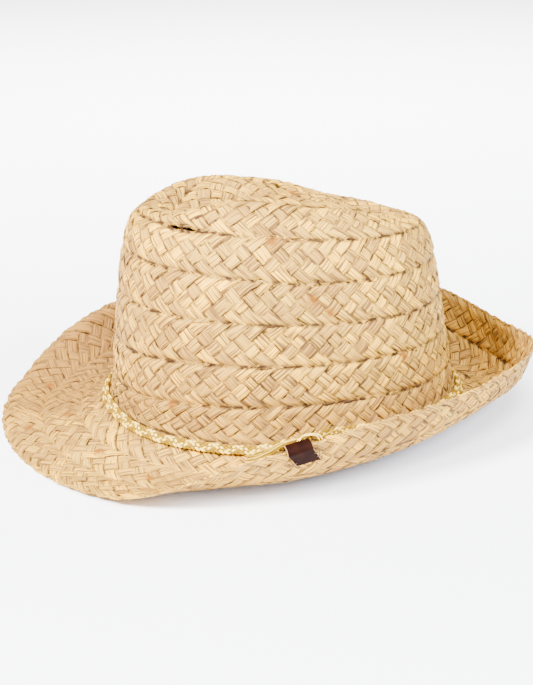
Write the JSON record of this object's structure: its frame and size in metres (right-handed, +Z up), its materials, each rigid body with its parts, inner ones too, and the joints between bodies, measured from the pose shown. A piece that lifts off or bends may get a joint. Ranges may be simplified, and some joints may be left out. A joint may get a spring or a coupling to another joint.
{
  "type": "straw hat",
  "caption": "Wide-brimmed hat of sewn straw braid with a dented crown, a brim curled up at the sides and back, a thin cord tied round the crown and a small leather tab on the edge.",
  "frame": {"origin": "centre of the bounding box, on the surface that the hat rests on", "axes": "+Z up, -Y to the front of the hat, +X to the wearer's left"},
  "size_m": [0.2826, 0.316, 0.1418],
  "materials": {
    "crown_straw": "flat braided raffia, dry and slightly silky",
    "brim_straw": "flat braided raffia, dry and slightly silky",
    "cord": "thin flat braid of pale yellow and cream threads, ends frayed",
    "tab_leather": "dark red-brown leather, smooth, paler cut edges"
  },
  "bodies": {
    "root": {"crown_side": "crown_straw", "crown_top": "crown_straw", "brim": "brim_straw", "hat_cord": "cord", "cord_knot": "cord", "frayed_end_front": "cord", "frayed_end_back": "cord", "leather_tab": "tab_leather"}
  },
  "joints": []
}
